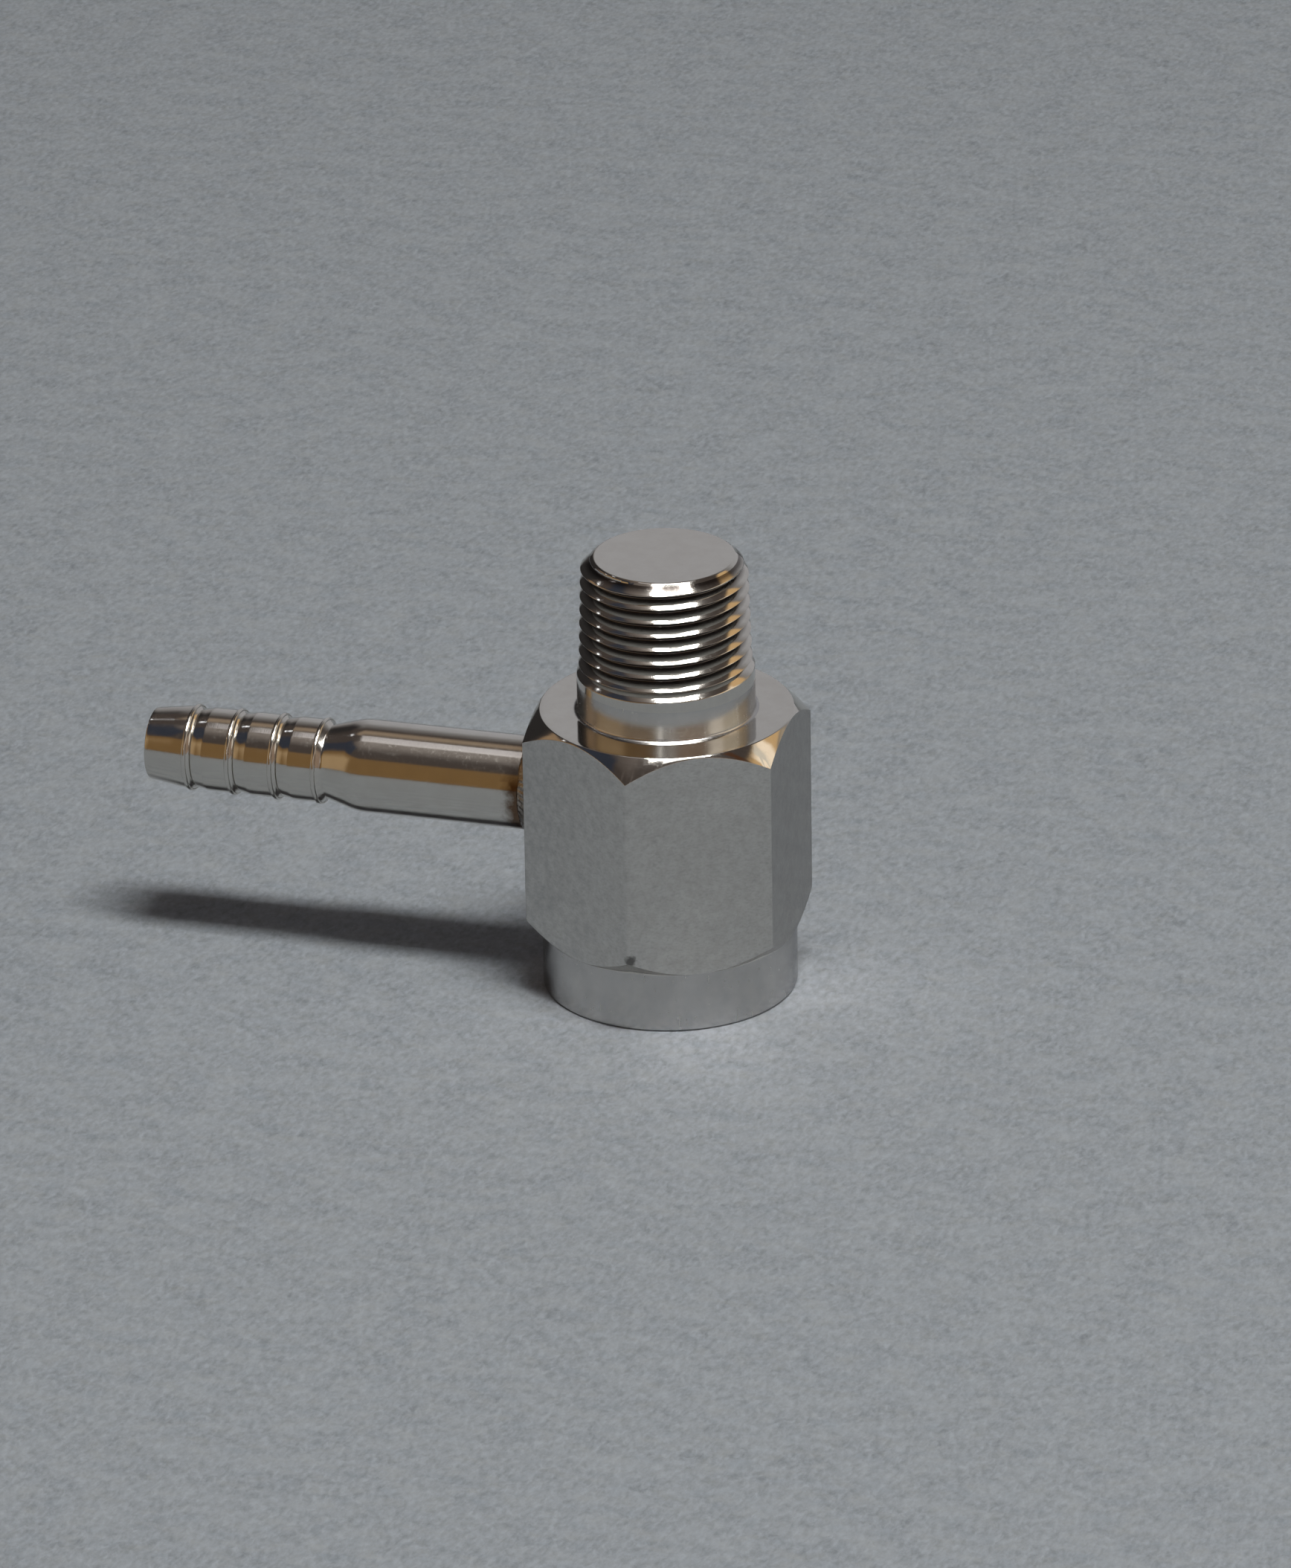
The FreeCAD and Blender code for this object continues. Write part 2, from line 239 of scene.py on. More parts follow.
def groove(turned, z, k):
    """Radius of the thread's groove in its turn k. Its underside is straight, its upper side
    swells as buffing leaves it. turned is the angle in degrees from -X."""
    off = z - (GROOVE_Z + STEP * turned + PITCH * k)
    crest = CREST_R + (TOP_Z - z) * TAPER
    under = DEPTH - np.clip(off - ROOT_HALF, 0, None) * FLANK
    rise = PITCH - ROOT_HALF - DEPTH / FLANK + off
    if k < 1:
        # the first turn starts shallow
        fade = np.clip((SHALLOW_TO - turned) / (SHALLOW_TO - SHALLOW_FROM), 0, 1) if k == 0 else 1.0
        rise = rise - SHALLOW * fade
    swell = (LIP - np.sqrt(np.clip(LIP ** 2 - 4 * SWELL * rise, 0, None))) / (2 * SWELL)
    depth = np.minimum(np.minimum(np.where(rise < 0, rise / LIP, swell), DEPTH), under)
    if k < 0:
        depth = depth - (360 - turned) * STEP * RUN_IN_SLOPE
    return np.where(np.abs(off) < 0.75 * PITCH, crest - depth, NO_CUT)


def threaded(turned, z):
    """Radius of the cut thread."""
    stock = blank(z)
    cut = np.full_like(z, NO_CUT)
    for k in range(-1, LAST_TURN + 1):
        one = groove(turned, z, k)
        if k < 0:
            one = np.where(turned > RUN_IN, one, NO_CUT)
        cut = np.minimum(cut, one)
    return soft_min(stock, cut, 0.03)


def thread_rows():
    """Points of the thread zone, the rows running along the groove."""
    above = [0.05, 0.12, 0.22, 0.32, 0.37, 0.42, 0.5, 0.6, 0.7, 0.77, 0.8, 0.82, 0.8306, 0.845]
    below = [0.05, 0.1, 0.17, 0.25, 0.33, 0.41, 0.49, 0.57, 0.64, 0.7, 0.76, 0.82, 0.87, 0.91, 0.94]
    one_turn = np.array([-v for v in reversed(below)] + [0.0] + above)
    count = len(one_turn)
    first = GROOVE_Z - 2 * PITCH
    offsets = np.concatenate([one_turn + first + PITCH * k for k in range(11)])
    top = TOP_Z - RIM_H
    offsets = offsets[offsets < top + 0.05]
    offsets = np.append(offsets, top + 0.1)
    turned = (angles - 180) % 360
    z = offsets[None, :] + STEP * turned[:, None]
    across = np.broadcast_to(turned[:, None], z.shape)
    z = np.clip(z, THREAD_LOW, top)
    # a row is put on each edge where the groove meets the end chamfer or the neck
    stock = blank(z)
    cut = np.minimum.reduce([groove(across, z, k) for k in range(LAST_TURN + 1)])
    gap = stock - cut
    for i in range(z.shape[0]):
        outside = (z[i, :-1] > END_ZONE) | (z[i, :-1] < NECK_ZONE)
        for j in np.nonzero((gap[i, :-1] * gap[i, 1:] < 0) & outside)[0]:
            part = gap[i, j] / (gap[i, j] - gap[i, j + 1])
            meet = z[i, j] + part * (z[i, j + 1] - z[i, j])
            z[i, j if part < 0.5 else j + 1] = meet
    order = np.argsort(turned)
    r = threaded(across, z)
    r = np.where(z >= top - 1e-6, RIM_R, np.where(z <= THREAD_LOW + 1e-6, NECK_R, r))
    return round_z(np.stack([r, z], -1))[order], count


def port_rows():
    """Points of the port's wall from above its thread down to the mouth."""
    top = PORT_THREAD_TOP + PORT_RUNOUT
    side = np.array([0.08, 0.2, 0.4, 0.55, 0.6, 0.64])
    one_turn = np.concatenate([-side[::-1], [0.0], side, [PITCH / 2]])
    count = len(one_turn)
    offsets = np.sort(np.concatenate([one_turn - 2.5 * PITCH + PITCH * k for k in range(12)]))
    offsets = np.append(offsets[offsets < top], top + 0.1)
    height = offsets[None, :] + STEP * angles[:, None]
    z = np.clip(height, 0, top)
    off = (z - STEP * angles[:, None]) / PITCH
    off = np.abs(off - 0.5 - np.round(off - 0.5)) * PITCH
    fade = np.clip((PORT_THREAD_TOP - z) / PORT_RUNOUT, 0, 1)
    depth = PORT_DEPTH * fade - np.clip(off - ROOT_HALF, 0, None) * FLANK
    mouth = MOUTH_R - z
    wall = -soft_min(-(PORT_R + np.clip(depth, 0, None)), -np.maximum(mouth, PORT_R), 0.05)
    r = np.where(z <= 0, MOUTH_R, np.where(z >= top, PORT_R, wall))
    return round_z(np.stack([r, z], -1))[:, ::-1], count


def make_hex_body(flats, bright, thread_finish, inside, turned):
    """Material numbers: 0 flats, 1 chamfers and end faces, 2 thread, 3 inside, 4 neck and skirt."""
    sheets = Sheets()
    edge = hexagon(angles)
    low_edge = SKIRT_Z + edge - SKIRT_R
    high_edge = SHOULDER_Z - SHOULDER_SLOPE * (edge - SHOULDER_R)
    sheets.add(round_z(outline([
        (0, PASSAGE_TOP + DRILL_SLOPE * PASSAGE_R), (1.5, PASSAGE_TOP + DRILL_SLOPE * (PASSAGE_R - 1.5)),
        (PASSAGE_R, PASSAGE_TOP, 0.1), (PASSAGE_R, 24), (PASSAGE_R, 21),
        (PASSAGE_R, PORT_TOP + DRILL_SLOPE * (PORT_R - PASSAGE_R), 0.1),
        (7, PORT_TOP + DRILL_SLOPE * (PORT_R - 7)),
        (PORT_R, PORT_TOP, 0.15), (PORT_R, 15), (PORT_R, PORT_THREAD_TOP + PORT_RUNOUT),
    ])), 3)
    wall, count = port_rows()
    sheets.add(wall, 3, shift=-count)
    sheets.add(round_z(outline([
        (MOUTH_R, 0), (MOUTH_R + 0.1, 0), (13, 0), (SKIRT_R - 1, 0), (SKIRT_R, 0, 0.4, 6),
        (SKIRT_R, 1), (SKIRT_R, 4), (SKIRT_R, SKIRT_Z - 0.1), (SKIRT_R, SKIRT_Z),
    ])), 4)
    lower = outline([(SKIRT_R, SKIRT_Z), (edge, low_edge, 0.05, 3), (edge, low_edge + 0.5)])
    half = lower[:, :1] * 0.5 + lower[:, 1:2] * 0.5
    lower = np.concatenate([lower[:, :1], half, lower[:, 1:]], 1)
    sheets.add(round_z(lower), [1, 1] + [0] * (lower.shape[1] - 3))
    between = [low_edge + 0.5 + (high_edge - low_edge - 1) * t for t in np.linspace(0, 1, 7)]
    sheets.add(round_z(outline([(edge, z) for z in between])), 0)
    upper = outline([(edge, high_edge - 0.5), (edge, high_edge, 0.05, 3), (SHOULDER_R, SHOULDER_Z)])
    half = upper[:, -2:-1] * 0.5 + upper[:, -1:] * 0.5
    upper = np.concatenate([upper[:, :-1], half], 1)
    sheets.add(round_z(upper), [0] * 4 + [1])
    tail = outline([(upper[:, -1, 0], upper[:, -1, 1]), (SHOULDER_R, SHOULDER_Z, 0.1, 4), (15, SHOULDER_Z)])
    sheets.add(round_z(tail), 1)
    bend = [(NECK_R + NECK_ROUND * (1 - math.sin(a)), SHOULDER_Z + NECK_ROUND * (1 - math.cos(a)))
            for a in np.radians(np.linspace(0, 90, 9))]
    sheets.add(round_z(outline([(15, SHOULDER_Z), (13, SHOULDER_Z), (11.8, SHOULDER_Z)] + bend
                               + [(NECK_R, 38.2), (NECK_R, 39.5), (NECK_R, THREAD_LOW)])), [1] * 3 + [4] * 11)
    thread, count = thread_rows()
    sheets.add(thread, 2, shift=count)
    sheets.add(round_z(outline([
        (RIM_R, TOP_Z - RIM_H), (END_R, TOP_Z, 0.36, 7), (END_R - 0.4, TOP_Z), (6, TOP_Z), (3, TOP_Z),
        (0, TOP_Z),
    ])), 1)
    return sheets.build("hex_body_turned", [flats, bright, thread_finish, inside, turned])


# ---------------------------------------------------------------- hose tail

def round_x(flat_grid, phi):
    """Turns (columns, rows, x and radius) into points round the hose tail's axis."""
    if len(flat_grid) == 1:
        flat_grid = np.repeat(flat_grid, len(phi), 0)
    x, r = flat_grid[..., 0], flat_grid[..., 1]
    return np.stack([x, r * np.cos(phi)[:, None], STEM_Z + r * np.sin(phi)[:, None]], -1)


def make_stem(bright, inside):
    """The hose tail from its spigot to its free end, and its bore."""
    phi = np.radians(np.arange(0, 360, 1.5))
    land, root, foot = 5.28, 4.88, 4.75
    first_barb, barb_pitch, ring = -44.63, 5.69, 0.24
    line = [
        (SPIGOT_X, BORE_R), (SPIGOT_X, TUBE_R - 0.25, 0.05), (SPIGOT_X - 0.3, TUBE_R, 0.05),
        (-15.0, TUBE_R), (-20, TUBE_R), (-30, TUBE_R), (-37.5, TUBE_R), (-39.9, TUBE_R, 1.95, 14),
        (-43.3, 4.935), (-43.95, foot, 0.2, 4), (-44.2, foot),
    ]
    for k in range(4):
        back = first_barb - barb_pitch * k
        if k:
            line += [(back + 0.7, root + 0.16), (back + 0.38, root + 0.02), (back + 0.3, root, 0.05, 3)]
        line += [(back + 0.04, land - 0.06)]
        line += [(back - 0.3 - 0.3 * math.cos(a), land + ring * math.sin(a))
                 for a in np.radians(np.linspace(0, 180, 9))]
        line += [(back - 0.68, land)]
        if k < 3:
            ramp = back - barb_pitch + 0.3 + 1.75
            line += [(back - 2.0, land), (ramp, land, 0.12, 4), (ramp - 0.8, land - 0.183)]
    line += [
        (-64.0, 5.0465), (-66.8, 4.645), (TAIL_X, 4.545, 0.24, 5), (TAIL_X, 3.9),
        (TAIL_X, BORE_R + 0.35, 0.08, 3), (TAIL_X + 0.35, BORE_R, 0.08, 3), (-60, BORE_R),
    ]
    sheets = Sheets()
    sheets.add(round_x(outline(line), phi), 0, flip=True)
    bore = [(x, BORE_R) for x in (-60, -40, -20, SPIGOT_X)]
    sheets.add(round_x(outline(bore), phi), 1, flip=True)
    return sheets.build("hose_barb_stem_turned", [bright, inside])


def cut_socket(body):
    """Cuts the hose tail's socket, and the cross bore behind it, out of the hex body."""
    phi = np.radians(np.arange(0, 360, 3.0))
    line = [(0, 0), (0, BORE_R), (SOCKET_X, BORE_R), (SOCKET_X, SOCKET_R), (-FLAT_R - 1, SOCKET_R),
            (-FLAT_R - 1, 0)]
    sheets = Sheets()
    sheets.add(round_x(outline(line), phi), 3, flip=True)
    cutter = sheets.build("socket_cutter", list(body.data.materials))
    cut = body.modifiers.new("socket", "BOOLEAN")
    cut.operation, cut.object, cut.solver, cut.material_mode = "DIFFERENCE", cutter, "EXACT", "INDEX"
    bpy.context.view_layer.update()
    drilled = bpy.data.meshes.new_from_object(body.evaluated_get(bpy.context.evaluated_depsgraph_get()))
    drilled.name = body.data.name
    body.modifiers.remove(cut)
    body.data = drilled
    bpy.data.objects.remove(cutter)
    shape = bmesh.new()
    shape.from_mesh(drilled)
    for edge in shape.edges:
        near = all(math.hypot(v.co.y, v.co.z - STEM_Z * MM) < (SOCKET_R + 0.02) * MM for v in edge.verts)
        if near and edge.calc_face_angle(0) > 0.5:
            edge.smooth = False
    shape.to_mesh(drilled)
    shape.free()


# ---------------------------------------------------------------- weld

def make_weld(steel):
    """A fillet between the flat and the tube, its face rippled and its toes wandering."""
    phi = np.radians(np.arange(0, 360, 1.0))
    rng = np.random.default_rng(7)
    wander = sum(a * np.sin(phi * n + p) for n, a, p in (
        (2, 0.07, 1.0), (3, 0.06, 2.2), (5, 0.05, 0.4), (9, 0.04, 3.0), (14, 0.03, 1.9)))
    ripples = 46
    jitter = 0.25 * np.sin(phi * 3 + 1) + 0.3 * np.sin(phi * 7 + rng.uniform(0, 6))
    clear = 0.16            # keeps the wandering toes inside the CAD weld
    skin = 0.004            # keeps the bead's face off the flat and the tube
    on_flat = np.array([-FLAT_R, TUBE_R + WELD_LEG - clear])
    on_tube = np.array([-FLAT_R - WELD_LEG + clear, TUBE_R])
    rows = []
    for t in np.linspace(0, 1, 15):
        base = on_flat * (1 - t) + on_tube * t
        crown = 4 * t * (1 - t)
        wave = np.abs(np.sin(phi * ripples / 2 + jitter + 2.2 * (t - 0.5) ** 2))
        lift = (wave - 0.6) * 0.11 * crown ** 0.7 - 0.10 * crown + wander * 0.5 * crown
        toe = 0.9 * wander * (2 * t - 1) ** 2
        x = base[0] - lift * 0.7071 + (toe if t >= 0.5 else 0)
        r = base[1] + lift * 0.7071 + (toe if t < 0.5 else 0)
        if t == 0:
            x = np.full_like(phi, -FLAT_R)
        if t == 1:
            r = np.full_like(phi, TUBE_R)
        rows.append(np.stack([np.minimum(x, -FLAT_R - (0 if t == 0 else skin)),
                              np.maximum(r, TUBE_R + (0 if t == 1 else skin))], -1))
    inner = np.stack([np.full_like(phi, -FLAT_R), np.full_like(phi, TUBE_R)], -1)
    rows = [inner] + rows + [inner]
    sheets = Sheets()
    sheets.add(round_x(np.stack(rows, 1), phi), 0, flip=True)
    return sheets.build("weld_bead_rippled", [steel])


# ---------------------------------------------------------------- materials

class Nodes:
    """A short way to write a node tree. add returns the node, the others its output socket."""

    def __init__(self, tree):
        self.tree = tree

    def add(self, kind, sockets=None, **settings):
        node = self.tree.nodes.new(kind)
        for name, value in settings.items():
            setattr(node, name, value)
        for name, value in (sockets or {}).items():
            if isinstance(value, bpy.types.NodeSocket):
                self.tree.links.new(value, node.inputs[name])
            else:
                node.inputs[name].default_value = value
        return node

    def noise(self, vector, scale, detail=3.0, rough=0.5, twist=0.0):
        return self.add("ShaderNodeTexNoise", {
            "Vector": vector, "Scale": scale, "Detail": detail, "Roughness": rough, "Distortion": twist,
        }).outputs["Fac"]

    def stretch(self, vector, scale, turn=(0, 0, 0)):
        sockets = {"Vector": vector, "Scale": scale, "Rotation": turn}
        return self.add("ShaderNodeMapping", sockets).outputs["Vector"]

    def levels(self, value, low, high, to_low=0.0, to_high=1.0):
        return self.add("ShaderNodeMapRange", {
            "Value": value, "From Min": low, "From Max": high, "To Min": to_low, "To Max": to_high,
        }).outputs["Result"]

    def sum(self, a, b, kind="ADD"):
        return self.add("ShaderNodeMath", {0: a, 1: b}, operation=kind).outputs[0]

    def mix(self, part, a, b):
        node = self.add("ShaderNodeMix", {"Factor": part}, data_type="RGBA")
        for socket, value in ((node.inputs[6], a), (node.inputs[7], b)):
            if isinstance(value, bpy.types.NodeSocket):
                self.tree.links.new(value, socket)
            else:
                socket.default_value = value
        return node.outputs[2]

    def bump(self, height, strength, distance, under=None):
        sockets = {"Height": height, "Strength": strength, "Distance": distance}
        if under is not None:
            sockets["Normal"] = under
        return self.add("ShaderNodeBump", sockets).outputs["Normal"]


def new_material(name):
    material = bpy.data.materials.new(name)
    material.use_nodes = True
    tree = material.node_tree
    shader = tree.nodes["Principled BSDF"]
    return material, Nodes(tree), shader


def steel(name, tint, dark_tint, rough, rings=None, ring_depth=0.0, scratch=0.5, cloud=0.12, edge=1.0,
          shaded_grooves=False, shade_mottle_hairlines=0.0, dark_spot=None, heat_tint_and_shade=False):
    """Polished stainless steel. rings is the axis the lathe marks run round and edge the tint at
    grazing angles. shaded_grooves paints shade into the bottom of the thread, shade_mottle_hairlines
    adds light spots as a painted reflection of the paper, real hairlines, and painted shade
    darkening towards -X, dark_spot is the place of a small dark spot, heat_tint_and_shade tints
    the end beside the weld with temper colour and keeps it to the lower side as painted shade."""
    material, n, shader = new_material(name)
    place = n.add("ShaderNodeTexCoord").outputs["Object"]
    grain = n.stretch(place, (1000, 1000, 1000))
    cloudy = n.noise(grain, 0.35, 4.0, 0.6)
    specks = n.noise(grain, 5.0, 2.0, 0.6)
    lines = n.noise(n.stretch(place, (2600, 2600, 260), (0.35, 0.2, 0.5)), 1.0, 2.0, 0.5)
    cross = n.noise(n.stretch(place, (300, 2400, 2400), (0.1, 0.6, 0.25)), 1.0, 2.0, 0.5)
    tone = n.levels(cloudy, 0.35, 0.65)
    colour = n.mix(tone, tint, dark_tint)
    fine = n.levels(specks, 0.62, 0.74, 0.0, 0.35)
    colour = n.mix(fine, colour, (dark_tint[0] * 0.8, dark_tint[1] * 0.8, dark_tint[2] * 0.8, 1))
    if shade_mottle_hairlines:
        across = n.add("ShaderNodeSeparateXYZ", {0: grain}).outputs["X"]
        # painted shade: the flats are darkened towards -X
        colour = n.mix(n.levels(across, -14, 6, 0.5, 0.0), colour, (0.40, 0.40, 0.395, 1))
        # painted reflection: light spots stand in for the paper mirrored in the flats; the hairlines below
        # are real polishing marks
        spots = n.levels(n.noise(grain, 0.9, 5.0, 0.7), 0.36, 0.62, 0.0, shade_mottle_hairlines)
        colour = n.mix(spots, colour, (0.80, 0.785, 0.75, 1))
        hair = n.noise(n.stretch(place, (250, 3800, 3800), (0.5, 0.3, 0.7)), 1.0, 3.0, 0.6)
        colour = n.mix(n.levels(hair, 0.48, 0.75, 0.0, shade_mottle_hairlines), colour, (0.36, 0.355, 0.35, 1))
    if dark_spot:
        # a small ragged dark spot around this place on the flats
        away = n.add("ShaderNodeVectorMath", {0: grain, 1: dark_spot}, operation="DISTANCE").outputs["Value"]
        ragged = n.sum(away, n.noise(grain, 1.4, 3.0, 0.6), "ADD")
        colour = n.mix(n.levels(ragged, 1.35, 0.95, 0.0, 0.85), colour, (0.10, 0.095, 0.09, 1))
    if heat_tint_and_shade:
        along = n.add("ShaderNodeSeparateXYZ", {0: grain}).outputs["X"]
        near = n.levels(n.sum(along, n.sum(n.noise(grain, 0.9, 3.0, 0.6), 2.4, "MULTIPLY")), -18.9, -17.3)
        # painted shade: the tint fades out towards the top, so the tail's lower side is darker
        height = n.add("ShaderNodeSeparateXYZ", {0: grain}).outputs["Z"]
        near = n.sum(near, n.levels(height, STEM_Z + 4.2, STEM_Z + 1.8, 0.15, 1.0), "MULTIPLY")
        colour = n.mix(near, colour, (0.15, 0.095, 0.062, 1))
    if shaded_grooves:
        # painted shade: the thread darkens the deeper it lies below the crest, standing in for the shade
        # inside the groove
        xyz = n.add("ShaderNodeSeparateXYZ", {0: grain}).outputs
        square = n.sum(n.sum(xyz["X"], xyz["X"], "MULTIPLY"), n.sum(xyz["Y"], xyz["Y"], "MULTIPLY"))
        radius = n.sum(square, 0.5, "POWER")
        crest = n.sum(n.sum(xyz["Z"], -TAPER, "MULTIPLY"), CREST_R + TOP_Z * TAPER)
        depth = n.levels(n.sum(crest, radius, "SUBTRACT"), 0.42, 1.0)
        colour = n.mix(depth, colour, (0.15, 0.132, 0.12, 1))
    n.tree.links.new(colour, shader.inputs["Base Color"])
    shader.inputs["Metallic"].default_value = 1.0
    shader.inputs["Specular Tint"].default_value = (edge, edge, edge * 1.02, 1)
    base = n.levels(cloudy, 0.3, 0.7, rough * (1 - cloud), rough * (1 + cloud))
    streak = n.sum(n.levels(lines, 0.55, 0.8, 0.0, rough * 0.5), n.levels(cross, 0.55, 0.8, 0.0, rough * 0.4))
    n.tree.links.new(n.sum(base, streak), shader.inputs["Roughness"])
    normal = n.bump(n.sum(lines, cross), 0.05 * scratch, 0.00004)
    if rings:
        parts = n.add("ShaderNodeSeparateXYZ", {0: grain}).outputs
        wobble = n.noise(grain, 0.8, 2.0)
        along = n.sum(parts[rings], n.sum(wobble, 0.08, "MULTIPLY"))
        mark = n.noise(n.add("ShaderNodeCombineXYZ", {"X": along}).outputs[0], 7.0, 3.0, 0.7)
        normal = n.bump(mark, ring_depth, 0.00003, normal)
    n.tree.links.new(normal, shader.inputs["Normal"])
    return material


def weld_steel(name):
    """Steel that was melted, with straw and brown temper colour in patches, and painted shade darkening its
    lower side.
    """
    material, n, shader = new_material(name)
    place = n.add("ShaderNodeTexCoord").outputs["Object"]
    grain = n.stretch(place, (1000, 1000, 1000))
    patch = n.levels(n.noise(grain, 0.45, 4.0, 0.6, 0.6), 0.38, 0.66)
    fine = n.levels(n.noise(grain, 3.0, 3.0, 0.6), 0.5, 0.72)
    colour = n.mix(patch, (0.60, 0.57, 0.52, 1), (0.34, 0.25, 0.17, 1))
    colour = n.mix(fine, colour, (0.16, 0.11, 0.08, 1))
    # painted shade: the bead's lower side is darkened towards near black
    height_mm = n.add("ShaderNodeSeparateXYZ", {0: grain}).outputs["Z"]
    shaded_low_side = n.levels(n.sum(height_mm, n.noise(grain, 0.5, 3.0)), STEM_Z + 2.5, STEM_Z - 3.5, 0.0, 0.85)
    colour = n.mix(shaded_low_side, colour, (0.06, 0.042, 0.034, 1))
    n.tree.links.new(colour, shader.inputs["Base Color"])
    shader.inputs["Metallic"].default_value = 1.0
    n.tree.links.new(n.levels(fine, 0, 1, 0.10, 0.28), shader.inputs["Roughness"])
    height = n.sum(n.noise(grain, 1.6, 4.0, 0.6), n.noise(grain, 6.0, 2.0), "ADD")
    n.tree.links.new(n.bump(height, 0.35, 0.0001), shader.inputs["Normal"])
    return material


def paper(name):
    """Grey studio paper with fine fibres."""
    material, n, shader = new_material(name)
    place = n.add("ShaderNodeTexCoord").outputs["Object"]
    fibre = n.noise(n.stretch(place, (950, 560, 900)), 1.0, 4.0, 0.65, 0.5)
    cross = n.noise(n.stretch(place, (1300, 700, 900), (0, 0, 0.4)), 1.0, 3.0, 0.6, 0.4)
    blotch = n.noise(n.stretch(place, (150, 210, 200)), 1.0, 4.0, 0.6)
    hue = n.noise(n.stretch(place, (260, 420, 400)), 1.0, 3.0, 0.6)
    light = n.levels(n.sum(fibre, cross), 0.72, 1.28)
    colour = n.mix(light, (0.322, 0.345, 0.394, 1), (0.532, 0.568, 0.644, 1))
    warm = n.levels(hue, 0.52, 0.72, 0.0, 0.32)
    colour = n.mix(warm, colour, (0.490, 0.492, 0.488, 1))
    cool = n.levels(hue, 0.46, 0.28, 0.0, 0.40)
    colour = n.mix(cool, colour, (0.400, 0.455, 0.540, 1))
    wide = n.levels(blotch, 0.36, 0.64)
    colour = n.mix(n.sum(wide, 0.34, "MULTIPLY"), colour, (0.60, 0.63, 0.69, 1))
    n.tree.links.new(colour, shader.inputs["Base Color"])
    shader.inputs["Roughness"].default_value = 0.9
    shader.inputs["Specular IOR Level"].default_value = 0.25
    n.tree.links.new(n.bump(n.sum(fibre, cross), 0.16, 0.0002), shader.inputs["Normal"])
    return material


TINT = (0.655, 0.635, 0.590, 1)
DARK = (0.615, 0.590, 0.545, 1)
flat_steel = steel("steel_flats", (0.625, 0.606, 0.568, 1), (0.565, 0.548, 0.514, 1), 0.15,
                   scratch=1.8, cloud=0.4, edge=0.62, shade_mottle_hairlines=0.42, dark_spot=(0.2, -18.2, 10.5))
face_steel = steel("steel_turned_faces", TINT, DARK, 0.07, "Z", 0.03, scratch=0.3)
neck_steel = steel("steel_neck_and_skirt", (0.58, 0.57, 0.555, 1), (0.53, 0.52, 0.505, 1), 0.20,
                   "Z", 0.06, scratch=0.4, edge=0.7)
thread_steel = steel("steel_thread", (0.67, 0.645, 0.60, 1), DARK, 0.10, scratch=0.3, shaded_grooves=True)
port_steel = steel("steel_port", (0.60, 0.58, 0.54, 1), (0.5, 0.48, 0.45, 1), 0.24, "Z", 0.2, scratch=1.0)
tail_steel = steel("steel_hose_tail", TINT, DARK, 0.115, "X", 0.08, scratch=0.8, heat_tint_and_shade=True)
bore_steel = steel("steel_bore", (0.60, 0.58, 0.54, 1), (0.5, 0.48, 0.45, 1), 0.3, "X", 0.25, scratch=1.0)
melted_steel = weld_steel("steel_weld")

hex_body = make_hex_body(flat_steel, face_steel, thread_steel, port_steel, neck_steel)
cut_socket(hex_body)
keep_flats_flat(hex_body)
stem = make_stem(tail_steel, bore_steel)
keep_flats_flat(stem)
weld = make_weld(melted_steel)

for piece, node, slot in ((hex_body, "hex_body", "body_steel"), (stem, "hose_barb_stem", "stem_steel"),
                          (weld, "weld_bead", "weld_steel")):
    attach(piece, "root")
    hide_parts(node)


# ---------------------------------------------------------------- floor

def make_floor():
    """A wide sheet of paper lying flat."""
    half = 2600.0
    ticks = np.concatenate([[-half, -900, -300], np.linspace(-100, 100, 9), [300, 900, half]])
    grid = np.stack(np.meshgrid(ticks, ticks, indexing="ij"), -1)
    points = [(x * MM, y * MM, 0.0) for x, y in grid.reshape(-1, 2)]
    n = len(ticks)
    faces = [(i * n + j, (i + 1) * n + j, (i + 1) * n + j + 1, i * n + j + 1)
             for i in range(n - 1) for j in range(n - 1)]
    mesh = bpy.data.meshes.new("paper_floor")
    mesh.from_pydata(points, [], faces)
    mesh.materials.append(paper("grey_paper"))
    floor = bpy.data.objects.new("paper_floor", mesh)
    bpy.context.scene.collection.objects.link(floor)


make_floor()


# ---------------------------------------------------------------- light

KEY = 60.0                  # radiance of the two panels that the steel reflects
WARM = (1.0, 0.99, 0.97)
PAPER_LIGHT = (0.975, 0.99, 0.93)
CEILING = 2.1               # height of everything that lies flat overhead, metres
PANELS = {"turn": 18.0, "about": (0.17, -0.52)}


def area_lamp(name, size, radiance, colour):
    """A rectangular light. Sizes are in metres, radiance is in W per m2 and sr."""
    light = bpy.data.lights.new(name, "AREA")
    light.shape = "RECTANGLE"
    light.size, light.size_y = size
    light.energy = radiance * math.pi * light.size * light.size_y
    light.color = colour
    lamp = bpy.data.objects.new(name, light)
    bpy.context.scene.collection.objects.link(lamp)
    return lamp


def soft_box(name, centre, size, radiance, colour=(1, 1, 1), aim=(0, 0, 0.025)):
    """A light at centre that faces the object."""
    lamp = area_lamp(name, size, radiance, colour)
    lamp.location = centre
    lamp.rotation_mode = "QUATERNION"
    lamp.rotation_quaternion = (Vector(aim) - Vector(centre)).to_track_quat("-Z", "Y")
    return lamp


def way(azimuth, elevation, distance):
    """The point at this distance in a direction given in degrees."""
    a, e = math.radians(azimuth), math.radians(elevation)
    return (distance * math.cos(e) * math.cos(a), distance * math.cos(e) * math.sin(a),
            distance * math.sin(e))


